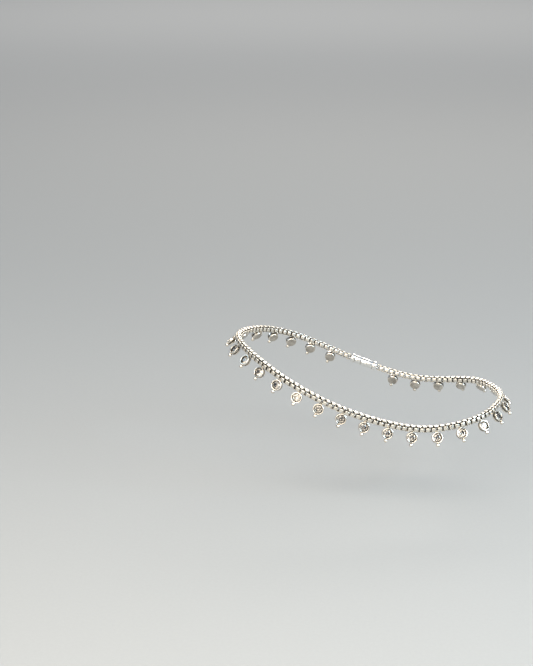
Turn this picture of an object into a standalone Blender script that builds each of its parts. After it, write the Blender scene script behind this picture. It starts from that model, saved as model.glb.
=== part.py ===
"""Payal anklet: a square box chain with round stone cups hung along its lower edge.

Metres, +Z up. The anklet is modelled in the form it takes when worn. The origin is
where the chain sits on top of the instep. +X runs back towards the heel, and the loop
is the same on both sides of the XZ plane.
"""

import math

import bmesh
import bpy
import numpy as np
from mathutils import Matrix, Vector

MM = 0.001

# ---------------------------------------------------------------- driving sizes
CHAIN_D = 2.2 * MM
CHAIN_POINTS = 50
FIT_GAP = 0.3 * MM

PITCHES = 31
FIRST_CHARM = -1.1 * MM
CLASP_PITCHES = (23, 24)
CHARM_DROP = 3.5 * MM
CHARM_SINK = 0.3 * MM

CUP_R = 2.1 * MM
CUP_BORE_R = 1.66 * MM
CUP_DEPTH = 2.0 * MM
CUP_FLOOR = 0.3 * MM
CUP_RIM_ROUND = 0.15 * MM
CUP_SIDES = 14
BALL_R = 0.78 * MM
BALL_DROP = 2.8 * MM

STONE_R = 1.46 * MM
STONE_TABLE_R = 0.85 * MM
STONE_TABLE_Z = 0.8 * MM
STONE_GIRDLE_Z = 0.42 * MM
STONE_CULET_Z = -0.45 * MM
STONE_SIDES = 12

CLASP_LENGTH = 12.0 * MM
CLASP_R = 1.8 * MM
CLASP_COLLAR_R = 1.95 * MM
CLASP_COLLAR = 1.1 * MM
CLASP_END_R = 1.3 * MM
CLASP_SIDES = 16

MERGE = 1e-6
SAMPLES = 3000

# The chain's centreline in mm from its crest on the instep, down one side to the heel.
# x: back towards the heel, y: out to the side, z: up, lean: how far the skin under the
# chain faces up, in degrees. The other side mirrors it.
ROUTE = [
    (0.0, 0.0, 0.0, 50.0),
    (4.5, 12.5, -1.25, 42.0),
    (14.0, 23.5, -5.0, 30.0),
    (27.0, 30.0, -11.0, 21.0),
    (42.0, 31.5, -17.75, 16.0),
    (57.5, 30.5, -23.0, 16.0),
    (72.0, 28.5, -25.75, 21.0),
    (84.5, 25.75, -25.0, 32.0),
    (94.5, 20.25, -23.25, 40.0),
    (100.5, 11.0, -22.25, 42.0),
    (103.25, 0.0, -22.0, 46.0),
]


# ---------------------------------------------------------------- the route
def loop_rows():
    """The closed route in metres and radians, near side (-Y) first."""
    near = [(x, -y, z, lean) for x, y, z, lean in ROUTE]
    far = [(x, y, z, lean) for x, y, z, lean in ROUTE[-2:0:-1]]
    rows = np.array(near + far)
    rows[:, :3] *= MM
    rows[:, 3] = np.radians(rows[:, 3])
    crest_lean = rows[0, 3]
    seat_normal = np.array([-math.cos(crest_lean), 0.0, math.sin(crest_lean)])
    rows[:, :3] += seat_normal * CHAIN_D / 2
    return rows


def closed_spline(rows, samples):
    """Points on the smooth closed cubic spline through the rows."""
    count = len(rows)
    after = np.roll(rows, -1, axis=0)
    step = np.sqrt(np.linalg.norm(after[:, :3] - rows[:, :3], axis=1))
    rise = (after - rows) / step[:, None]
    system = np.zeros((count, count))
    right = np.zeros_like(rows)
    for i in range(count):
        before = i - 1
        system[i, before] = 1 / step[before]
        system[i, i] = 2 / step[before] + 2 / step[i]
        system[i, (i + 1) % count] = 1 / step[i]
        right[i] = 3 * (rise[before] / step[before] + rise[i] / step[i])
    slope = np.linalg.solve(system, right)
    knots = np.concatenate([[0.0], np.cumsum(step)])
    at = np.linspace(0.0, knots[-1], samples)
    span = np.clip(np.searchsorted(knots, at, side="right") - 1, 0, count - 1)
    follow = (span + 1) % count
    width = step[span][:, None]
    t = ((at - knots[span]) / step[span])[:, None]
    return (
        (1 + 2 * t) * (1 - t) ** 2 * rows[span]
        + t * (1 - t) ** 2 * width * slope[span]
        + t**2 * (3 - 2 * t) * rows[follow]
        + t**2 * (t - 1) * width * slope[follow]
    )


class Route:
    """The chain's centreline, read by its length from the crest."""

    def __init__(self):
        path = closed_spline(loop_rows(), SAMPLES)
        steps = np.linalg.norm(np.diff(path[:, :3], axis=0), axis=1)
        self.path = path
        self.at = np.concatenate([[0.0], np.cumsum(steps)])
        self.length = self.at[-1]

    def read(self, s):
        s = s % self.length
        return [float(np.interp(s, self.at, self.path[:, k])) for k in range(4)]

    def point(self, s):
        return Vector(self.read(s)[:3])

    def frame(self, s):
        """Point, tangent, outward normal and the way a charm hangs."""
        step = 0.2 * MM
        tangent = (self.point(s + step) - self.point(s - step)).normalized()
        side = tangent.cross(Vector((0, 0, 1))).normalized()
        drop = tangent.cross(side)
        lean = self.read(s)[3]
        normal = side * math.cos(lean) - drop * math.sin(lean)
        return self.point(s), tangent, normal, tangent.cross(normal)


# ---------------------------------------------------------------- helpers
def clear_scene():
    for obj in list(bpy.data.objects):
        bpy.data.objects.remove(obj, do_unlink=True)


def new_collection(name):
    made = bpy.data.collections.new(name)
    bpy.context.scene.collection.children.link(made)
    return made


def metal_or_stone(name, colour, roughness, metallic):
    made = bpy.data.materials.new(name)
    made.use_nodes = True
    shader = made.node_tree.nodes["Principled BSDF"]
    shader.inputs["Base Color"].default_value = (*colour, 1.0)
    shader.inputs["Roughness"].default_value = roughness
    shader.inputs["Metallic"].default_value = metallic
    made.diffuse_color = (*colour, 1.0)
    return made


def add_object(name, data, collection, material=None):
    obj = bpy.data.objects.new(name, data)
    collection.objects.link(obj)
    if material and not data.materials:
        data.materials.append(material)
    return obj


def applied_mesh(obj, name):
    """The object's mesh with its modifiers applied; the object is removed."""
    bpy.context.view_layer.update()
    evaluated = obj.evaluated_get(bpy.context.evaluated_depsgraph_get())
    mesh = bpy.data.meshes.new_from_object(evaluated)
    mesh.name = name
    bpy.data.objects.remove(obj, do_unlink=True)
    return mesh


def turned_mesh(name, profile, sides, smooth_angle):
    """A solid turned round Z from (radius, z) points, outer side from top to bottom."""
    mesh = bpy.data.meshes.new(name + "_profile")
    edges = [(i, i + 1) for i in range(len(profile) - 1)]
    mesh.from_pydata([(r, 0.0, z) for r, z in profile], edges, [])
    obj = bpy.data.objects.new(name, mesh)
    bpy.context.scene.collection.objects.link(obj)
    screw = obj.modifiers.new("turn", "SCREW")
    screw.axis = "Z"
    screw.angle = math.tau
    screw.steps = sides
    screw.render_steps = sides
    screw.use_merge_vertices = True
    screw.merge_threshold = MERGE
    screw.use_smooth_shade = smooth_angle > 0
    turned = applied_mesh(obj, name)
    if smooth_angle > 0:
        turned.set_sharp_from_angle(angle=smooth_angle)
    return turned


def soldered_mesh(base, other, name, collection):
    """The base object's mesh with the other solid joined to it by an exact union."""
    collection.objects.link(other)
    other.hide_render = True
    other.display_type = "WIRE"
    join = base.modifiers.new("solder", "BOOLEAN")
    join.operation = "UNION"
    join.solver = "EXACT"
    join.object = other
    mesh = applied_mesh(base, name)
    bpy.data.objects.remove(other, do_unlink=True)
    return mesh


def ball_object():
    mesh = bpy.data.meshes.new("ball")
    shape = bmesh.new()
    bmesh.ops.create_icosphere(shape, subdivisions=2, radius=BALL_R)
    shape.to_mesh(mesh)
    shape.free()
    return bpy.data.objects.new("ball", mesh)


# ---------------------------------------------------------------- pieces
def charm_frame(route, s):
    """A charm's matrix: X along the chain, Y up to the chain, Z out of its face."""
    point, tangent, normal, hang = route.frame(s)
    centre = point + hang * CHARM_DROP - normal * CHARM_SINK
    turn = Matrix((tangent, -hang, normal)).transposed()
    return Matrix.Translation(centre) @ turn.to_4x4()


def charm_places(route):
    pitch = route.length / PITCHES
    worn = [k for k in range(PITCHES) if k not in CLASP_PITCHES]
    return [FIRST_CHARM + k * pitch for k in worn]


def clasp_span(route):
    """Where the clasp starts and ends along the route."""
    pitch = route.length / PITCHES
    middle = FIRST_CHARM + pitch * sum(CLASP_PITCHES) / 2
    return middle - CLASP_LENGTH / 2, middle + CLASP_LENGTH / 2


def make_chain(route, collection, metal):
    """The chain's outer form: one tube from one end of the clasp round to the other."""
    start, end = clasp_span(route)
    first = end + FIT_GAP
    last = route.length + start - FIT_GAP
    curve = bpy.data.curves.new("box_chain", "CURVE")
    curve.dimensions = "3D"
    curve.bevel_depth = CHAIN_D / 2
    curve.bevel_resolution = 2
    curve.use_fill_caps = True
    spline = curve.splines.new("POLY")
    spline.points.add(CHAIN_POINTS - 1)
    for i, s in enumerate(np.linspace(first, last, CHAIN_POINTS)):
        spline.points[i].co = (*route.point(s), 1.0)
    add_object("box_chain", curve, collection, metal)


def clasp_mesh():
    half = CLASP_LENGTH / 2
    waist = half - CLASP_COLLAR
    slope = (CLASP_COLLAR_R - CLASP_R) * 2
    upper = [
        (0.0, half),
        (CLASP_END_R, half),
        (CLASP_COLLAR_R, half - CLASP_COLLAR / 3),
        (CLASP_COLLAR_R, waist + slope),
        (CLASP_R, waist),
    ]
    lower = [(r, -z) for r, z in reversed(upper)]
    return turned_mesh("clasp", upper + lower, CLASP_SIDES, math.radians(40))


def make_clasp(route, collection, metal):
    start, end = (route.point(s) for s in clasp_span(route))
    clasp = add_object("clasp", clasp_mesh(), collection, metal)
    clasp.location = (start + end) / 2
    clasp.rotation_mode = "QUATERNION"
    clasp.rotation_quaternion = (end - start).to_track_quat("Z", "Y")


def bezel_mesh(cutters):
    """A closed-back cup with its ball soldered on at the foot."""
    top, back = CUP_DEPTH / 2, -CUP_DEPTH / 2
    rim_r = (CUP_R + CUP_BORE_R) / 2
    profile = [
        (0.0, back + CUP_FLOOR),
        (CUP_BORE_R, back + CUP_FLOOR),
        (CUP_BORE_R, top - CUP_RIM_ROUND),
        (rim_r, top),
        (CUP_R, top - CUP_RIM_ROUND),
        (CUP_R, back),
        (0.0, back),
    ]
    cup = turned_mesh("cup", profile, CUP_SIDES, math.radians(30))
    base = add_object("cup", cup, cutters)
    ball = ball_object()
    ball.location = (0, -BALL_DROP, 0)
    mesh = soldered_mesh(base, ball, "bezel", cutters)
    bpy.data.meshes.remove(cup)
    return mesh


def stone_mesh():
    profile = [
        (0.0, STONE_TABLE_Z),
        (STONE_TABLE_R, STONE_TABLE_Z),
        (STONE_R, STONE_GIRDLE_Z),
        (0.0, STONE_CULET_Z),
    ]
    return turned_mesh("stone", profile, STONE_SIDES, 0.0)


def make_charms(route, collection, cutters, metal, crystal):
    bezel = bezel_mesh(cutters)
    bezel.materials.clear()
    stone = stone_mesh()
    for number, s in enumerate(charm_places(route), start=1):
        place = charm_frame(route, s)
        cup = add_object(f"bezel_{number:02d}", bezel, collection, metal)
        cup.matrix_world = place
        gem = add_object(f"stone_{number:02d}", stone, collection, crystal)
        gem.parent = cup


def main():
    clear_scene()
    route = Route()
    collection = new_collection("payal_anklet")
    cutters = new_collection("cutters")
    chain_silver = metal_or_stone("chain_silver", (0.86, 0.85, 0.82), 0.16, 1.0)
    cup_silver = metal_or_stone("cup_silver", (0.9, 0.88, 0.84), 0.1, 1.0)
    clasp_silver = metal_or_stone("clasp_silver", (0.86, 0.85, 0.83), 0.18, 1.0)
    crystal = metal_or_stone("clear_stone", (0.93, 0.95, 0.97), 0.02, 0.0)
    make_chain(route, collection, chain_silver)
    make_clasp(route, collection, clasp_silver)
    make_charms(route, collection, cutters, cup_silver, crystal)
    bpy.context.view_layer.update()


main()
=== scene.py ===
"""Looks of the payal anklet: box links, jump rings, polished cups, cut stones and clasp.

Metres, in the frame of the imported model: the origin is where the chain sits on the
instep, +X runs back to the heel and +Z up. Every piece is modelled once at the origin
and copied to its place along the chain's route.
"""

import math

import bmesh
import bpy
import numpy as np
from mathutils import Matrix, Vector


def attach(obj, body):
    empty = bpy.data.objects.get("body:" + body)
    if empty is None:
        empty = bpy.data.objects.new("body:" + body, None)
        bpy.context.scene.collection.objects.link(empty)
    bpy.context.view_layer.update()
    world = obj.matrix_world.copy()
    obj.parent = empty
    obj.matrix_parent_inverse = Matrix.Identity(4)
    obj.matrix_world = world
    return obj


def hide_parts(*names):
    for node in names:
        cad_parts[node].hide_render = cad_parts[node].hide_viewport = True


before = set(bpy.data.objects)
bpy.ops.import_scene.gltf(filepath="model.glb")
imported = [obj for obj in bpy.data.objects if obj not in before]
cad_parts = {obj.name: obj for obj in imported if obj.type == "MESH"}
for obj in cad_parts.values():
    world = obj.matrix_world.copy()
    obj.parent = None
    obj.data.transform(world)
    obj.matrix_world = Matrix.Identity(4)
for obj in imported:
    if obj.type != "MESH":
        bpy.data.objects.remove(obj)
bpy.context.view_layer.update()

MM = 0.001

# Two points count as one level or radius within NEAR. A face looks along an axis when its
# normal's share of that axis is over FACING, and stands beside it when under BESIDE.
NEAR = 2e-6
FACING = 0.9
BESIDE = 0.5

# ---------------------------------------------------------------- sizes
CHAIN_D = 2.2 * MM
PITCHES = 31
LINKS_PER_PITCH = 8
FIRST_CHARM = -1.1 * MM
CLASP_PITCHES = (23, 24)
CLASP_LENGTH = 12.0 * MM
CHARM_DROP = 3.5 * MM
CHARM_SINK = 0.3 * MM
SAMPLES = 3000

# A link is a flat strip bent to an open box. The chain is rolled about its own route, so
# that two rows of plates show from the side.
LINK_LONG = 1.77 * MM
LINK_HIGH = 2.46 * MM
STRIP_WIDE = 1.36 * MM
STRIP_THICK = 0.28 * MM
LINK_BEND = 0.3 * MM
STRIP_EDGE = 0.1 * MM
CHAIN_ROLL = math.radians(-28)
LINK_SWAY = math.radians(1.3)

CUP_R = 2.1 * MM
CUP_BORE_R = 1.66 * MM
CUP_DEPTH = 2.0 * MM
CUP_FLOOR = 0.25 * MM
CUP_SIDES = 40
RIM_ROUND = 0.15 * MM
BACK_ROUND = 0.5 * MM
WAIST_TOP = 0.3 * MM
WAIST_LOW = -0.25 * MM
WAIST_DEEP = 0.16 * MM
WAIST_SHOULDER = 0.1 * MM
BALL_R = 0.78 * MM
BALL_DROP = 2.8 * MM
NECK_R = 0.34 * MM
NECK_LONG = 0.6 * MM
NECK_PAST_CUP = 0.05 * MM
RING_R = 0.87 * MM
RING_WIRE_R = 0.12 * MM

STONE_R = 1.42 * MM
STONE_TABLE_Z = 0.8 * MM
GIRDLE_Z = 0.38 * MM
GIRDLE_HIGH = 0.06 * MM
CROWN_ANGLE = math.radians(33)
CROWN_HALF_STEEPER = math.radians(6)
STAR_ANGLE = math.radians(20)
PAVILION_ANGLE = math.radians(36.5)
PAVILION_HALF_STEEPER = math.radians(1.6)
STONE_BLANK_HIGH = 4 * MM
STONE_TILT = math.radians(2.5)

BARREL_LONG = 10.6 * MM
BARREL_R = 1.72 * MM
BARREL_SIDES = 48
BARREL_ROUND = 0.12 * MM
COLLAR_LONG = 1.3 * MM
COLLAR_PROUD = 0.2 * MM
GROOVE_WIDE = 0.22 * MM
SEAM_DEEP = 0.13 * MM
SEAM_SHARE = 0.22
END_RING_R = 0.915 * MM
END_RING_WIRE_R = 0.16 * MM
END_RING_SINK = 0.32 * MM

# How much painted shade these faces get, 0 to 1, and how far down its wall a cup's inside
# turns fully shaded. The dark film is laid on by it as painted shade in hollows, on the
# cup's flat back and in its waist.
LINK_SIDE_SHADE = 0.8
CUP_BACK_SHADE = 0.5
CUP_WAIST_SHADE = 0.9
CUP_WALL_FADE = 0.3 * MM

# The chain's centreline in mm from its crest, down one side to the heel, and how far
# the skin under it faces up, in degrees. The other side mirrors it.
ROUTE = [
    (0.0, 0.0, 0.0, 50.0),
    (4.5, 12.5, -1.25, 42.0),
    (14.0, 23.5, -5.0, 30.0),
    (27.0, 30.0, -11.0, 21.0),
    (42.0, 31.5, -17.75, 16.0),
    (57.5, 30.5, -23.0, 16.0),
    (72.0, 28.5, -25.75, 21.0),
    (84.5, 25.75, -25.0, 32.0),
    (94.5, 20.25, -23.25, 40.0),
    (100.5, 11.0, -22.25, 42.0),
    (103.25, 0.0, -22.0, 46.0),
]

rng = np.random.default_rng(7)


# ---------------------------------------------------------------- the route
def loop_rows():
    """The closed route in metres and radians, near side (-Y) first."""
    near = [(x, -y, z, lean) for x, y, z, lean in ROUTE]
    far = [(x, y, z, lean) for x, y, z, lean in ROUTE[-2:0:-1]]
    rows = np.array(near + far)
    rows[:, :3] *= MM
    rows[:, 3] = np.radians(rows[:, 3])
    crest_lean = rows[0, 3]
    seat_normal = np.array([-math.cos(crest_lean), 0.0, math.sin(crest_lean)])
    rows[:, :3] += seat_normal * CHAIN_D / 2
    return rows


def closed_spline(rows, samples):
    """Points on the smooth closed cubic spline through the rows."""
    count = len(rows)
    after = np.roll(rows, -1, axis=0)
    step = np.sqrt(np.linalg.norm(after[:, :3] - rows[:, :3], axis=1))
    rise = (after - rows) / step[:, None]
    system = np.zeros((count, count))
    right = np.zeros_like(rows)
    for i in range(count):
        before = i - 1
        system[i, before] = 1 / step[before]
        system[i, i] = 2 / step[before] + 2 / step[i]
        system[i, (i + 1) % count] = 1 / step[i]
        right[i] = 3 * (rise[before] / step[before] + rise[i] / step[i])
    slope = np.linalg.solve(system, right)
    knots = np.concatenate([[0.0], np.cumsum(step)])
    at = np.linspace(0.0, knots[-1], samples)
    span = np.clip(np.searchsorted(knots, at, side="right") - 1, 0, count - 1)
    follow = (span + 1) % count
    width = step[span][:, None]
    t = ((at - knots[span]) / step[span])[:, None]
    return (
        (1 + 2 * t) * (1 - t) ** 2 * rows[span]
        + t * (1 - t) ** 2 * width * slope[span]
        + t**2 * (3 - 2 * t) * rows[follow]
        + t**2 * (t - 1) * width * slope[follow]
    )


class Route:
    """The chain's centreline, read by its length from the crest."""

    def __init__(self):
        path = closed_spline(loop_rows(), SAMPLES)
        steps = np.linalg.norm(np.diff(path[:, :3], axis=0), axis=1)
        self.path = path
        self.at = np.concatenate([[0.0], np.cumsum(steps)])
        self.length = self.at[-1]
        self.pitch = self.length / PITCHES

    def read(self, s):
        """X, Y, Z and the skin's lean at the length s."""
        s = s % self.length
        return [float(np.interp(s, self.at, self.path[:, k])) for k in range(4)]

    def point(self, s):
        return Vector(self.read(s)[:3])

    def frame(self, s, roll=0.0):
        """Point, tangent, outward normal and the way a charm hangs."""
        step = 0.2 * MM
        tangent = (self.point(s + step) - self.point(s - step)).normalized()
        side = tangent.cross(Vector((0, 0, 1))).normalized()
        drop = tangent.cross(side)
        lean = self.read(s)[3] + roll
        normal = side * math.cos(lean) - drop * math.sin(lean)
        return self.point(s), tangent, normal, tangent.cross(normal)

    def clasp_span(self):
        """The lengths at which the clasp's place starts and ends."""
        middle = FIRST_CHARM + self.pitch * sum(CLASP_PITCHES) / 2
        return middle - CLASP_LENGTH / 2, middle + CLASP_LENGTH / 2

    def charm_places(self):
        """The length at which each cup hangs."""
        worn = [k for k in range(PITCHES) if k not in CLASP_PITCHES]
        return [FIRST_CHARM + k * self.pitch for k in worn]


route = Route()


# ---------------------------------------------------------------- modelling helpers
def only(obj):
    """Selects the object alone and makes it the active one."""
    bpy.ops.object.select_all(action="DESELECT")
    obj.select_set(True)
    bpy.context.view_layer.objects.active = obj


def edit(obj):
    only(obj)
    bpy.ops.object.mode_set(mode="EDIT")
    bpy.ops.mesh.select_all(action="DESELECT")


def leave_edit():
    bpy.ops.object.mode_set(mode="OBJECT")


def pick(obj, kind, test):
    """Selects the edit mesh's faces or edges that pass the test, and nothing else."""
    mode = "FACE" if kind == "faces" else "EDGE"
    bpy.ops.mesh.select_mode(type=mode)
    bpy.ops.mesh.select_all(action="DESELECT")
    shape = bmesh.from_edit_mesh(obj.data)
    shape.normal_update()
    for part in getattr(shape, kind):
        if test(part):
            part.select_set(True)
    shape.select_flush_mode()
    bmesh.update_edit_mesh(obj.data)


def middle_of(edge):
    return (edge.verts[0].co + edge.verts[1].co) / 2


def runs_along_y(edge):
    way = (edge.verts[1].co - edge.verts[0].co).normalized()
    return abs(way.y) > 0.99


def rings_z(edge, height, radius):
    """True where both ends of the edge are at the height and radius about Z."""
    return all(
        abs(v.co.z - height) < NEAR and abs(v.co.xy.length - radius) < NEAR
        for v in edge.verts
    )


def slice_level(height):
    """Cuts a ring of edges round the whole edit mesh at the height."""
    bpy.ops.mesh.select_all(action="SELECT")
    bpy.ops.mesh.bisect(plane_co=(0, 0, height), plane_no=(0, 0, 1))


def settle(obj):
    """Puts the object's place, turn and scale into its mesh."""
    only(obj)
    bpy.ops.object.transform_apply(location=True, rotation=True, scale=True)


def apply_modifiers(obj):
    only(obj)
    for modifier in list(obj.modifiers):
        bpy.ops.object.modifier_apply(modifier=modifier.name)


def smooth(obj, degrees):
    """Shades smooth across every edge that bends less than the angle."""
    only(obj)
    bpy.ops.object.shade_smooth_by_angle(angle=math.radians(degrees))


def unite(base, others):
    """Joins the others to the base by exact unions and removes them."""
    for other in others:
        join = base.modifiers.new("solder", "BOOLEAN")
        join.operation = "UNION"
        join.solver = "EXACT"
        join.object = other
    apply_modifiers(base)
    for other in others:
        bpy.data.objects.remove(other, do_unlink=True)


def write_shade_depth(obj, depth_at):
    """Stores how much painted shade each face's corner gets, 0 to 1, mostly by how deep in
    a hollow it lies.
    """
    mesh = obj.data
    shade_depth = mesh.attributes.new("shade_depth", "FLOAT", "CORNER")
    values = []
    for face in mesh.polygons:
        values += [depth_at(mesh.vertices[v].co, face) for v in face.vertices]
    shade_depth.data.foreach_set("value", values)


def write_tone(obj, value):
    """Stores one tone, 0 to 1, on all of the object's points."""
    tone = obj.data.attributes.new("tone", "FLOAT", "POINT")
    tone.data.foreach_set("value", [value] * len(obj.data.vertices))


def copy_of(model, name, matrix):
    """A named copy whose mesh is moved by the matrix, its object left at the origin."""
    mesh = model.data.copy()
    mesh.name = name
    mesh.transform(matrix)
    obj = bpy.data.objects.new(name, mesh)
    bpy.context.scene.collection.objects.link(obj)
    return obj


# ---------------------------------------------------------------- box chain
def model_link():
    """One link: a flat strip bent to an open box, its hole along Y."""
    bpy.ops.mesh.primitive_cube_add(size=1, scale=(LINK_LONG, STRIP_WIDE, LINK_HIGH))
    link = bpy.context.object
    settle(link)
    edit(link)
    pick(link, "faces", lambda f: abs(f.normal.y) > FACING)
    bpy.ops.mesh.inset(thickness=STRIP_THICK)
    bpy.ops.mesh.bridge_edge_loops()
    outer = LINK_LONG / 2 - STRIP_THICK / 2

    def is_outer_corner(e):
        return runs_along_y(e) and abs(middle_of(e).x) > outer

    pick(link, "edges", is_outer_corner)
    bpy.ops.mesh.bevel(offset=LINK_BEND, segments=2)

    def is_outer_rim(e):
        sides = [abs(f.normal.y) > FACING for f in e.link_faces]
        if sum(sides) != 1:
            return False
        wall = e.link_faces[sides.index(False)]
        return wall.normal.dot(wall.calc_center_median()) > 0

    pick(link, "edges", is_outer_rim)
    bpy.ops.mesh.bevel(offset=STRIP_EDGE, segments=2)
    leave_edit()

    # Painted shade: the inside of the hole and the end faces, where the next links meet,
    # are darkened fully, the flat faces round the hole near the ends nearly as much.
    def depth_at(point, face):
        looks_in = face.normal.dot(face.center) < 0 and abs(face.normal.y) < BESIDE
        if looks_in or abs(face.normal.x) > FACING:
            return 1.0
        at_end = abs(face.center.x) > LINK_LONG / 2 - STRIP_THICK
        return LINK_SIDE_SHADE * float(at_end and abs(face.normal.y) > FACING)

    write_shade_depth(link, depth_at)
    return link


def link_places():
    """A matrix for each link, turned a quarter from the one before."""
    start, end = route.clasp_span()
    step = route.pitch / LINKS_PER_PITCH
    first = math.ceil((end - FIRST_CHARM) / step)
    last = math.floor((route.length + start - FIRST_CHARM) / step)
    places = []
    for k in range(first, last + 1):
        point, tangent, normal, hang = route.frame(FIRST_CHARM + k * step, CHAIN_ROLL)
        base = Matrix((tangent, normal, hang)).transposed().to_4x4()
        quarter = Matrix.Rotation(math.radians(90) * (k % 2), 4, "X")
        sway = Matrix.Identity(4)
        for axis, turn in zip("XYZ", rng.normal(0, LINK_SWAY, 3)):
            sway @= Matrix.Rotation(turn, 4, axis)
        places.append(Matrix.Translation(point) @ base @ sway @ quarter)
    return places


def joined_copies(name, model, places, tones):
    """One mesh of the model's copies, with each copy's tone as a point attribute."""
    source = model.data
    count = len(source.vertices)
    base = np.empty(count * 3)
    source.vertices.foreach_get("co", base)
    base = np.c_[base.reshape(-1, 3), np.ones(count)]
    verts = np.vstack([base @ np.array(m).T for m in places])[:, :3]
    polygons = [tuple(p.vertices) for p in source.polygons]
    faces = []
    for i in range(len(places)):
        faces += [tuple(v + i * count for v in poly) for poly in polygons]
    mesh = bpy.data.meshes.new(name)
    mesh.from_pydata(verts.tolist(), [], faces)
    depth = np.empty(len(source.loops))
    source.attributes["shade_depth"].data.foreach_get("value", depth)
    shade_depth = mesh.attributes.new("shade_depth", "FLOAT", "CORNER")
    shade_depth.data.foreach_set("value", np.tile(depth, len(places)))
    tone = mesh.attributes.new("tone", "FLOAT", "POINT")
    tone.data.foreach_set("value", np.repeat(tones, count))
    obj = bpy.data.objects.new(name, mesh)
    bpy.context.scene.collection.objects.link(obj)
    smooth(obj, degrees=50)
    return obj


def make_chain(silver):
    """The whole chain as one piece, each link with its own tone."""
    link = model_link()
    places = link_places()
    tones = rng.uniform(0, 1, len(places))
    chain = joined_copies("box_chain_links", link, places, tones)
    bpy.data.objects.remove(link, do_unlink=True)
    chain.data.materials.append(silver)
    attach(chain, "root")
    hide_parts("box_chain")


# ---------------------------------------------------------------- cups
def charm_matrix(s):
    """Puts a cup modelled face up, its ball towards -Y, in its place at the length s."""
    point, tangent, normal, hang = route.frame(s)
    centre = point + hang * CHARM_DROP - normal * CHARM_SINK
    turn = Matrix((tangent, -hang, normal)).transposed()
    return Matrix.Translation(centre) @ turn.to_4x4()


def ring_centre():
    """Where a jump ring sits round a link's lower plate, seen from its cup."""
    plate = LINK_HIGH / 2 - STRIP_THICK / 2
    below = plate * math.cos(CHAIN_ROLL)
    behind = plate * math.sin(-CHAIN_ROLL)
    return Vector((0, CHARM_DROP - below, CHARM_SINK - behind))


def model_cup():
    """A closed-back cup with a waist, its jump ring and ball soldered on."""
    bpy.ops.mesh.primitive_cylinder_add(vertices=CUP_SIDES, radius=CUP_R, depth=CUP_DEPTH)
    cup = bpy.context.object
    top = CUP_DEPTH / 2
    edit(cup)
    for height in (WAIST_TOP, WAIST_LOW):
        slice_level(height)
    pick(cup, "faces", lambda f: f.normal.z > FACING)
    bpy.ops.mesh.inset(thickness=CUP_R - CUP_BORE_R)
    sink = CUP_DEPTH - CUP_FLOOR
    bpy.ops.mesh.extrude_region_move(TRANSFORM_OT_translate={"value": (0, 0, -sink)})

    def is_waist(f):
        centre = f.calc_center_median()
        outside = centre.xy.length > (CUP_R + CUP_BORE_R) / 2
        return outside and abs(f.normal.z) < BESIDE and WAIST_LOW < centre.z < WAIST_TOP

    pick(cup, "faces", is_waist)
    bpy.ops.mesh.inset(thickness=WAIST_SHOULDER, depth=-WAIST_DEEP)

    def is_rim(e):
        return rings_z(e, top, CUP_R) or rings_z(e, top, CUP_BORE_R)

    pick(cup, "edges", is_rim)
    bpy.ops.mesh.bevel(offset=RIM_ROUND, segments=3)
    pick(cup, "edges", lambda e: rings_z(e, -top, CUP_R))
    bpy.ops.mesh.bevel(offset=BACK_ROUND, segments=4)
    leave_edit()
    bpy.ops.mesh.primitive_uv_sphere_add(
        segments=24, ring_count=14, radius=BALL_R, location=(0, -BALL_DROP, 0)
    )
    ball = bpy.context.object
    bpy.ops.mesh.primitive_cylinder_add(
        vertices=16,
        radius=NECK_R,
        depth=NECK_LONG,
        location=(0, -CUP_R - NECK_PAST_CUP, 0),
        rotation=(math.radians(90), 0, 0),
    )
    neck = bpy.context.object
    bpy.ops.mesh.primitive_torus_add(
        major_radius=RING_R,
        minor_radius=RING_WIRE_R,
        major_segments=32,
        minor_segments=10,
        location=ring_centre(),
        rotation=(0, math.radians(90), 0),
    )
    ring = bpy.context.object
    unite(cup, [neck, ball, ring])

    # Painted shade: the bore darkens from its rim down to full, the flat back by half, and
    # the waist groove nearly fully.
    def depth_at(point, face):
        inside = max(point.xy.length, face.center.xy.length) < CUP_BORE_R + NEAR
        if inside and point.z > CUP_FLOOR / 2 - top:
            return min(1.0, (top - point.z) / CUP_WALL_FADE)
        if face.normal.z < -FACING and face.center.xy.length < CUP_R:
            return CUP_BACK_SHADE
        at_waist = WAIST_LOW < face.center.z < WAIST_TOP
        sunk = CUP_R - face.center.xy.length
        at_waist = at_waist and WAIST_DEEP / 2 < sunk < 2 * WAIST_DEEP
        return CUP_WAIST_SHADE * float(at_waist)

    write_shade_depth(cup, depth_at)
    smooth(cup, degrees=38)
    return cup


# ---------------------------------------------------------------- stones
def facet(angle, azimuth, through, down=False):
    """Cuts the edit mesh along a facet that slopes by angle from level."""
    side = -1 if down else 1
    lean = Vector(
        (
            math.sin(angle) * math.cos(azimuth),
            math.sin(angle) * math.sin(azimuth),
            side * math.cos(angle),
        )
    )
    radius, height = through
    point = (radius * math.cos(azimuth), radius * math.sin(azimuth), height)
    bpy.ops.mesh.select_all(action="SELECT")
    bpy.ops.mesh.bisect(
        plane_co=point, plane_no=lean, use_fill=True, clear_outer=True, threshold=1e-7
    )


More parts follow.
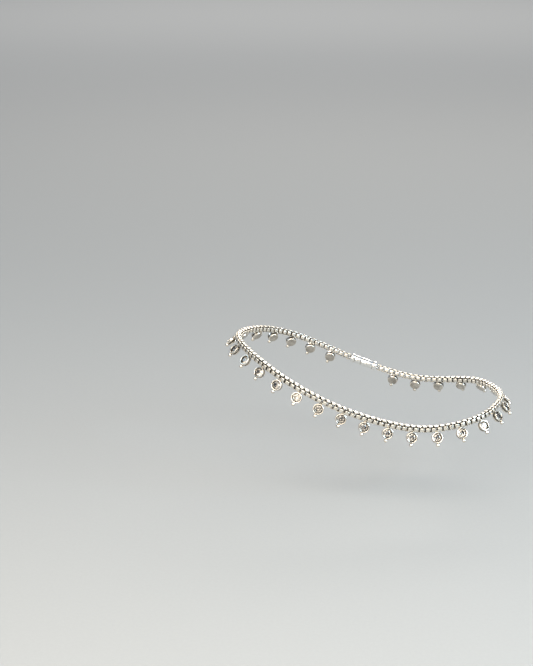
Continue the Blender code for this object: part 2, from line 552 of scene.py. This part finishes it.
def model_stone():
    """A round stone cut facet by facet: mains, halves, stars and table."""
    bpy.ops.mesh.primitive_cylinder_add(
        vertices=32, radius=STONE_R, depth=STONE_BLANK_HIGH, end_fill_type="NGON"
    )
    stone = bpy.context.object
    edit(stone)
    crown_base = GIRDLE_Z + GIRDLE_HIGH / 2
    pavilion_base = GIRDLE_Z - GIRDLE_HIGH / 2
    eighth = math.tau / 8
    table_r = STONE_R - (STONE_TABLE_Z - crown_base) / math.tan(CROWN_ANGLE)
    for k in range(8):
        facet(CROWN_ANGLE, k * eighth, (STONE_R, crown_base))
        facet(PAVILION_ANGLE, k * eighth, (STONE_R, pavilion_base), down=True)
    for k in range(16):
        turn = (k + 0.5) * eighth / 2
        facet(CROWN_ANGLE + CROWN_HALF_STEEPER, turn, (STONE_R, crown_base))
        steep = PAVILION_ANGLE + PAVILION_HALF_STEEPER
        facet(steep, turn, (STONE_R, pavilion_base), down=True)
    star_r = table_r * math.cos(eighth / 2)
    for k in range(8):
        facet(STAR_ANGLE, (k + 0.5) * eighth, (star_r, STONE_TABLE_Z))
    facet(0.0, 0.0, (0.0, STONE_TABLE_Z))
    bpy.ops.mesh.select_all(action="SELECT")
    bpy.ops.mesh.remove_doubles(threshold=1e-6)
    bpy.ops.mesh.dissolve_limited(angle_limit=math.radians(0.3))
    leave_edit()
    return stone


def make_charms(silver, crystal):
    """A cup and its stone at each place; the stones differ in turn, tilt and tone."""
    cup_model = model_cup()
    stone_model = model_stone()
    cup_model.data.materials.append(silver)
    stone_model.data.materials.append(crystal)
    for number, s in enumerate(route.charm_places(), start=1):
        place = charm_matrix(s)
        cup = copy_of(cup_model, f"cup_{number:02d}", place)
        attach(cup, "root")
        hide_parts(f"bezel_{number:02d}")
        spin = Matrix.Rotation(rng.uniform(0, math.tau), 4, "Z")
        tilt = Matrix.Rotation(rng.normal(0, STONE_TILT), 4, "X")
        tilt @= Matrix.Rotation(rng.normal(0, STONE_TILT), 4, "Y")
        gem = copy_of(stone_model, f"gem_{number:02d}", place @ tilt @ spin)
        write_tone(gem, rng.uniform(0, 1))
        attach(gem, "root")
        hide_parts(f"stone_{number:02d}")
    bpy.data.objects.remove(cup_model, do_unlink=True)
    bpy.data.objects.remove(stone_model, do_unlink=True)


# ---------------------------------------------------------------- clasp
def model_barrel():
    """A turned barrel along Z with end collars, a seam and a soldered ring at each end."""
    half = BARREL_LONG / 2
    bpy.ops.mesh.primitive_cylinder_add(
        vertices=BARREL_SIDES, radius=BARREL_R, depth=BARREL_LONG
    )
    barrel = bpy.context.object
    edit(barrel)
    collar = half - COLLAR_LONG
    groove = collar - GROOVE_WIDE
    seam_top = half * SEAM_SHARE + GROOVE_WIDE / 2
    seam_low = half * SEAM_SHARE - GROOVE_WIDE / 2
    for height in (collar, groove, seam_top, seam_low, -collar, -groove):
        slice_level(height)

    def between(low, high):
        def test(f):
            centre = f.calc_center_median()
            return abs(f.normal.z) < BESIDE and low < centre.z < high

        return test

    for low, high, proud in (
        (collar, half, COLLAR_PROUD),
        (-half, -collar, COLLAR_PROUD),
        (groove, collar, -SEAM_DEEP),
        (-collar, -groove, -SEAM_DEEP),
        (seam_low, seam_top, -SEAM_DEEP),
    ):
        pick(barrel, "faces", between(low, high))
        bpy.ops.mesh.extrude_region_shrink_fatten(
            TRANSFORM_OT_shrink_fatten={"value": proud}
        )
    leave_edit()
    round_edges = barrel.modifiers.new("round", "BEVEL")
    round_edges.width = BARREL_ROUND
    round_edges.segments = 2
    round_edges.limit_method = "ANGLE"
    apply_modifiers(barrel)
    rings = []
    for end in (-1, 1):
        bpy.ops.mesh.primitive_torus_add(
            major_radius=END_RING_R,
            minor_radius=END_RING_WIRE_R,
            major_segments=28,
            minor_segments=12,
            location=(0, 0, end * (half + END_RING_R - END_RING_SINK)),
            rotation=(math.radians(90), 0, 0),
        )
        rings.append(bpy.context.object)
    unite(barrel, rings)

    # Painted shade: the grooves and the seam are darkened fully.
    def depth_at(point, face):
        grooved = face.center.xy.length < BARREL_R - 0.6 * SEAM_DEEP
        return float(grooved and abs(face.center.z) < half * 0.98)

    write_shade_depth(barrel, depth_at)
    smooth(barrel, degrees=35)
    return barrel


def make_clasp(silver):
    """The barrel, laid straight across its place in the chain."""
    start, end = (route.point(s) for s in route.clasp_span())
    turn = (end - start).to_track_quat("Z", "Y").to_matrix().to_4x4()
    model = model_barrel()
    clasp = copy_of(model, "barrel_clasp", Matrix.Translation((start + end) / 2) @ turn)
    bpy.data.objects.remove(model, do_unlink=True)
    clasp.data.materials.append(silver)
    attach(clasp, "root")
    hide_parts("clasp")


# ---------------------------------------------------------------- looks
# Marks on handled metal and stone: the noises' scales, and the heights of the bumps.
CLOUD_SCALE = 420.0
DENT_SCALE = 2600.0
GRAIN_SCALE = 12000.0
GRAIN_HIGH = 0.08
SCRATCH_STRETCH = (900.0, 9000.0, 9000.0)
SCRATCH_HIGH = 0.12
SCRATCH_ROUGH = 0.12
FILM_ROUGH = 0.3
BUMP_STRENGTH = 0.35
BUMP_DEEP = 0.02 * MM

# Each silver: its polished and film colours, the share of painted shade in hollows, the
# roughness from clean to clouded, the strength of scratches and dents, and how far a
# link's tone takes it to TONE_COLOUR. The film is painted shade in hollows and a faint
# tarnish clouding elsewhere.
TONE_COLOUR = (0.66, 0.59, 0.49, 1)
LINK_LOOK = {
    "polished": (0.985, 0.92, 0.81),
    "shade_and_tarnish_film": (0.068, 0.05, 0.034),
    "shade_and_tarnish": 1.0,
    "rough": (0.2, 0.32),
    "marks": 0.6,
    "dents": 0.5,
    "tones": 0.25,
}
CUP_LOOK = {
    "polished": (0.83, 0.77, 0.68),
    "shade_and_tarnish_film": (0.05, 0.038, 0.027),
    "shade_and_tarnish": 0.95,
    "rough": (0.06, 0.14),
    "marks": 0.5,
    "dents": 0.4,
}
CLASP_LOOK = {
    "polished": (0.94, 0.93, 0.9),
    "shade_and_tarnish_film": (0.2, 0.17, 0.14),
    "shade_and_tarnish": 0.8,
    "rough": (0.12, 0.2),
    "marks": 0.8,
    "dents": 0.4,
}
STONE_CLEAREST = (0.56, 0.52, 0.455, 1)
STONE_SMOKIEST = (0.26, 0.24, 0.215, 1)
STONE_BENDS_LIGHT = 2.15
SMEAR_ROUGH = 0.035
PAPER_SHADES = ((0.33, 0.33, 0.326, 1), (0.35, 0.35, 0.346, 1))


def new_group(name, inputs, outputs):
    """A shader group with its sockets: f for a number, c for a colour."""
    group = bpy.data.node_groups.new(name, "ShaderNodeTree")
    kinds = {"f": "NodeSocketFloat", "c": "NodeSocketColor"}
    for label, kind, default in inputs:
        socket = group.interface.new_socket(label, in_out="INPUT", socket_type=kinds[kind])
        socket.default_value = default
    for label, kind in outputs:
        group.interface.new_socket(label, in_out="OUTPUT", socket_type=kinds[kind])
    enter = group.nodes.new("NodeGroupInput")
    leave = group.nodes.new("NodeGroupOutput")
    return group, enter, leave


def add(tree, kind, **settings):
    """A node with its settings; a socket's value is given by its name or number."""
    node = tree.nodes.new(kind)
    values = settings.pop("values", {})
    for key, value in settings.items():
        setattr(node, key, value)
    for key, value in values.items():
        node.inputs[key].default_value = value
    return node


def sums(tree, operation, *terms):
    """A Math node; each term is a number or an output socket."""
    node = add(tree, "ShaderNodeMath", operation=operation)
    for i, term in enumerate(terms):
        if isinstance(term, (int, float)):
            node.inputs[i].default_value = term
        else:
            tree.links.new(term, node.inputs[i])
    return node.outputs[0]


def mixed(tree, factor, first, second):
    """A colour mix; each colour is a tuple or an output socket."""
    node = add(tree, "ShaderNodeMix", data_type="RGBA")
    tree.links.new(factor, node.inputs[0])
    for slot, term in ((6, first), (7, second)):
        if isinstance(term, tuple):
            node.inputs[slot].default_value = term
        else:
            tree.links.new(term, node.inputs[slot])
    return node.outputs[2]


def spread(tree, source, low, high, new_low=0.0, new_high=1.0):
    """Stretches low to high over new_low to new_high, and holds it inside."""
    node = add(tree, "ShaderNodeMapRange", clamp=True)
    tree.links.new(source, node.inputs["Value"])
    node.inputs["From Min"].default_value = low
    node.inputs["From Max"].default_value = high
    node.inputs["To Min"].default_value = new_low
    node.inputs["To Max"].default_value = new_high
    return node.outputs[0]


def build_handling_wear():
    """Fine rubbing marks, small dents and clouding of a polished metal skin."""
    group, enter, leave = new_group(
        "handling wear",
        [("Marks", "f", 0.5), ("Dents", "f", 0.5), ("Grain", "f", 1.0)],
        [("Cloud", "f"), ("Scratch", "f"), ("Height", "f")],
    )
    place = add(group, "ShaderNodeTexCoord")
    cloud = add(group, "ShaderNodeTexNoise", values={"Scale": CLOUD_SCALE, "Detail": 3.0})
    group.links.new(place.outputs["Object"], cloud.inputs["Vector"])
    scratches = []
    for turn, scale in (((0.5, 0.2, 0.3), 1.0), ((-0.6, 0.9, -0.4), 1.3)):
        along = add(
            group,
            "ShaderNodeMapping",
            values={"Rotation": turn, "Scale": SCRATCH_STRETCH},
        )
        group.links.new(place.outputs["Object"], along.inputs["Vector"])
        line = add(
            group,
            "ShaderNodeTexNoise",
            values={"Scale": scale, "Detail": 2.0, "Roughness": 0.6},
        )
        group.links.new(along.outputs[0], line.inputs["Vector"])
        scratches.append(spread(group, line.outputs["Fac"], 0.6, 0.72))
    scratch = sums(group, "MAXIMUM", *scratches)
    scratch = sums(group, "MULTIPLY", scratch, enter.outputs["Marks"])
    dent = add(group, "ShaderNodeTexNoise", values={"Scale": DENT_SCALE, "Detail": 2.0})
    group.links.new(place.outputs["Object"], dent.inputs["Vector"])
    bumps = sums(group, "MULTIPLY", dent.outputs["Fac"], enter.outputs["Dents"])
    fine = add(group, "ShaderNodeTexNoise", values={"Scale": GRAIN_SCALE, "Detail": 2.0})
    group.links.new(place.outputs["Object"], fine.inputs["Vector"])
    grain = sums(group, "MULTIPLY", fine.outputs["Fac"], enter.outputs["Grain"])
    grain = sums(group, "MULTIPLY", grain, GRAIN_HIGH)
    height = sums(group, "ADD", bumps, grain)
    cut = sums(group, "MULTIPLY", scratch, SCRATCH_HIGH)
    height = sums(group, "SUBTRACT", height, cut)
    group.links.new(cloud.outputs["Fac"], leave.inputs["Cloud"])
    group.links.new(scratch, leave.inputs["Scratch"])
    group.links.new(height, leave.inputs["Height"])
    return group


def build_shade_and_tarnish():
    """Painted shade as a dark layer in hollows, ragged at its edge, and a faint clouding
    of oxide elsewhere.
    """
    group, enter, leave = new_group(
        "shade_and_tarnish",
        [
            ("Polished", "c", (0.95, 0.94, 0.91, 1)),
            ("Shade and tarnish colour", "c", (0.2, 0.17, 0.14, 1)),
            ("Recess shade", "f", 0.0),
            ("Cloud", "f", 0.5),
            ("Amount", "f", 1.0),
        ],
        [("Colour", "c"), ("Mask", "f")],
    )
    ragged = spread(group, enter.outputs["Cloud"], 0.3, 0.7, -0.15, 0.15)
    shade_mask = sums(group, "ADD", enter.outputs["Recess shade"], ragged)
    shade_mask = spread(group, shade_mask, 0.25, 0.9)
    shade_mask = sums(group, "MULTIPLY", shade_mask, enter.outputs["Amount"])
    shade_and_haze = spread(group, enter.outputs["Cloud"], 0.55, 0.8, 0.0, 0.14)
    # The stronger of the painted shade and the faint tarnish clouding sets how far the
    # colour turns to the dark film.
    shade_and_haze = sums(group, "MAXIMUM", shade_mask, shade_and_haze)
    colour = mixed(group, shade_and_haze, enter.outputs["Polished"], enter.outputs["Shade and tarnish colour"])
    group.links.new(colour, leave.inputs["Colour"])
    group.links.new(shade_mask, leave.inputs["Mask"])
    return group


def attribute(tree, name):
    """The number stored on the mesh under the name."""
    return add(tree, "ShaderNodeAttribute", attribute_name=name).outputs["Fac"]


def new_material(name):
    made = bpy.data.materials.new(name)
    made.use_nodes = True
    return made, made.node_tree, made.node_tree.nodes["Principled BSDF"]


def group_node(tree, group, links=None, values=None):
    """A group at work in a material, with its links and values by socket name."""
    node = add(tree, "ShaderNodeGroup")
    node.node_tree = group
    for key, value in (values or {}).items():
        node.inputs[key].default_value = value
    for key, source in (links or {}).items():
        tree.links.new(source, node.inputs[key])
    return node


def silver(name, wear, shade_and_tarnish, look):
    """Sterling silver with its own look out of the ones above."""
    made, tree, shader = new_material(name)
    shader.inputs["Metallic"].default_value = 1.0
    marks = group_node(
        tree, wear, values={"Marks": look["marks"], "Dents": look["dents"]}
    )
    # Painted shade: a dark film darkens the colour in hollows by the mesh's stored shade,
    # and faintly elsewhere as tarnish.
    shade_and_tarnish_film = group_node(
        tree,
        shade_and_tarnish,
        links={"Recess shade": attribute(tree, "shade_depth"), "Cloud": marks.outputs["Cloud"]},
        values={
            "Polished": (*look["polished"], 1),
            "Shade and tarnish colour": (*look["shade_and_tarnish_film"], 1),
            "Amount": look["shade_and_tarnish"],
        },
    )
    colour = shade_and_tarnish_film.outputs["Colour"]
    if look.get("tones"):
        tone = spread(tree, attribute(tree, "tone"), 0.0, 1.0, 0.0, look["tones"])
        colour = mixed(tree, tone, colour, TONE_COLOUR)
    tree.links.new(colour, shader.inputs["Base Color"])
    rough = spread(tree, marks.outputs["Cloud"], 0.3, 0.7, *look["rough"])
    rubbed = sums(tree, "MULTIPLY", marks.outputs["Scratch"], SCRATCH_ROUGH)
    rough = sums(tree, "ADD", rough, rubbed)
    dull = sums(tree, "MULTIPLY", shade_and_tarnish_film.outputs["Mask"], FILM_ROUGH)
    rough = sums(tree, "ADD", rough, dull)
    tree.links.new(rough, shader.inputs["Roughness"])
    depth = {"Strength": BUMP_STRENGTH, "Distance": BUMP_DEEP}
    bump = add(tree, "ShaderNodeBump", values=depth)
    tree.links.new(marks.outputs["Height"], bump.inputs["Height"])
    tree.links.new(bump.outputs[0], shader.inputs["Normal"])
    return made


def clear_crystal(wear):
    """Cut stone, clear to faintly smoky by its tone, with a smear of skin oil."""
    made, tree, shader = new_material("clear cut stone")
    shader.inputs["Metallic"].default_value = 0.0
    shader.inputs["Transmission Weight"].default_value = 1.0
    shader.inputs["IOR"].default_value = STONE_BENDS_LIGHT
    marks = group_node(tree, wear, values={"Marks": 0.2, "Dents": 0.1})
    smear = spread(tree, marks.outputs["Cloud"], 0.5, 0.8, 0.0, SMEAR_ROUGH)
    tree.links.new(smear, shader.inputs["Roughness"])
    cloud = spread(tree, marks.outputs["Cloud"], 0.3, 0.7, -0.15, 0.15)
    smoke = sums(tree, "ADD", attribute(tree, "tone"), cloud)
    smoke = spread(tree, smoke, 0.0, 1.0)
    colour = mixed(tree, smoke, STONE_CLEAREST, STONE_SMOKIEST)
    tree.links.new(colour, shader.inputs["Base Color"])
    return made


def pale_ground():
    """Matt seamless paper under the piece."""
    made, tree, shader = new_material("pale ground")
    shader.inputs["Roughness"].default_value = 1.0
    shader.inputs["Specular IOR Level"].default_value = 0.0
    place = add(tree, "ShaderNodeTexCoord")
    noise = add(tree, "ShaderNodeTexNoise", values={"Scale": 900.0, "Detail": 2.0})
    tree.links.new(place.outputs["Object"], noise.inputs["Vector"])
    colour = mixed(tree, noise.outputs["Fac"], *PAPER_SHADES)
    tree.links.new(colour, shader.inputs["Base Color"])
    return made


# ---------------------------------------------------------------- stage
FLOOR_Z = -57.0 * MM
VIEW_LENS = 78.38
VIEW_TARGET = Vector((53.29 * MM, 0.0, -18.16 * MM))
VIEW_OFFSET = Vector((0.0, -538.9 * MM, 196.1 * MM))
VIEW_TILT = math.radians(90 - 18.004)
VIEW_PAN = math.radians(4.552)

# Soft boxes: name, place, sides, watts, colour and what each is aimed at.
WARM = (1.0, 0.93, 0.82)
COOL = (0.67, 0.86, 1.0)
PLAIN = (1.0, 0.98, 0.95)
NEAR_FLOOR = (0.05, -0.15, FLOOR_Z)
FAR_FLOOR = (0.0, 1.6, 0.0)
SOFT_BOXES = [
    ("back light", (0.1, 0.75, 0.62), (0.8, 0.35), 2.6, WARM, VIEW_TARGET),
    ("key light", (0.0, -0.36, 0.32), (0.6, 0.4), 3.5, WARM, NEAR_FLOOR),
    ("front light", (-0.3, -0.75, 0.12), (0.6, 0.3), 1.3, WARM, VIEW_TARGET),
    ("heel light", (0.72, -0.3, 0.32), (0.35, 0.4), 6.5, COOL, VIEW_TARGET),
    ("instep light", (-0.7, 0.1, 0.45), (0.3, 0.3), 0.7, COOL, VIEW_TARGET),
    ("far light", (0.0, 1.9, 1.3), (2.0, 1.0), 26.0, PLAIN, FAR_FLOOR),
]

# The room: its colour by height, a cool tint towards both sides, and its strength.
ROOM_STOPS = [
    (0.0, (0.3, 0.3, 0.3, 1)),
    (0.09, (0.14, 0.14, 0.14, 1)),
    (0.12, (0.17, 0.17, 0.17, 1)),
    (0.22, (0.98, 0.93, 0.85, 1)),
    (0.7, (0.85, 0.83, 0.78, 1)),
    (1.0, (0.74, 0.73, 0.7, 1)),
]
ROOM_SIDE_TINT = (0.82, 0.96, 1.2, 1)
ROOM_SIDE_SPAN = (0.12, 0.45)
ROOM_STRENGTH = 0.53


def set_camera():
    data = bpy.data.cameras.new("camera")
    data.lens = VIEW_LENS
    data.sensor_width = 36
    data.clip_start = 0.01
    camera = bpy.data.objects.new("camera", data)
    camera.location = VIEW_TARGET + VIEW_OFFSET
    camera.rotation_euler = (VIEW_TILT, 0, VIEW_PAN)
    bpy.context.scene.collection.objects.link(camera)
    bpy.context.scene.camera = camera


def set_floor():
    bpy.ops.mesh.primitive_plane_add(size=6, location=(0.05, 1.5, FLOOR_Z))
    floor = bpy.context.object
    floor.name = "floor"
    floor.data.materials.append(pale_ground())


def set_soft_box(name, place, sides, watts, colour, aim):
    """A rectangle of light that faces its aim."""
    light = bpy.data.lights.new(name, "AREA")
    light.shape = "RECTANGLE"
    light.size, light.size_y = sides
    light.energy = watts
    light.color = colour
    obj = bpy.data.objects.new(name, light)
    obj.location = place
    way = Vector(aim) - Vector(place)
    obj.rotation_euler = way.to_track_quat("-Z", "Y").to_euler()
    bpy.context.scene.collection.objects.link(obj)


def set_room():
    """Soft light all round, which polished metal mirrors."""
    world = bpy.data.worlds.new("studio")
    world.use_nodes = True
    tree = world.node_tree
    place = add(tree, "ShaderNodeTexCoord")
    split = add(tree, "ShaderNodeSeparateXYZ")
    tree.links.new(place.outputs["Generated"], split.inputs[0])
    ramp = add(tree, "ShaderNodeValToRGB")
    height = spread(tree, split.outputs["Z"], -0.1, 1.0)
    tree.links.new(height, ramp.inputs[0])
    first, last = ramp.color_ramp.elements
    first.position, first.color = ROOM_STOPS[0]
    last.position, last.color = ROOM_STOPS[-1]
    for position, colour in ROOM_STOPS[1:-1]:
        ramp.color_ramp.elements.new(position).color = colour
    sideways = sums(tree, "ABSOLUTE", split.outputs["X"])
    sideways = spread(tree, sideways, *ROOM_SIDE_SPAN)
    shade = add(tree, "ShaderNodeMix", data_type="RGBA", blend_type="MULTIPLY")
    shade.inputs[7].default_value = ROOM_SIDE_TINT
    tree.links.new(sideways, shade.inputs[0])
    tree.links.new(ramp.outputs[0], shade.inputs[6])
    tree.links.new(shade.outputs[2], tree.nodes["Background"].inputs["Color"])
    tree.nodes["Background"].inputs["Strength"].default_value = ROOM_STRENGTH
    bpy.context.scene.world = world
    bpy.context.scene.view_settings.view_transform = "Standard"


# ---------------------------------------------------------------- assembly
handling_wear = build_handling_wear()
shade_and_tarnish_group = build_shade_and_tarnish()
make_chain(silver("box link silver", handling_wear, shade_and_tarnish_group, LINK_LOOK))
make_charms(
    silver("cup silver", handling_wear, shade_and_tarnish_group, CUP_LOOK),
    clear_crystal(handling_wear),
)
make_clasp(silver("barrel silver", handling_wear, shade_and_tarnish_group, CLASP_LOOK))
set_camera()
set_floor()
for box in SOFT_BOXES:
    set_soft_box(*box)
set_room()
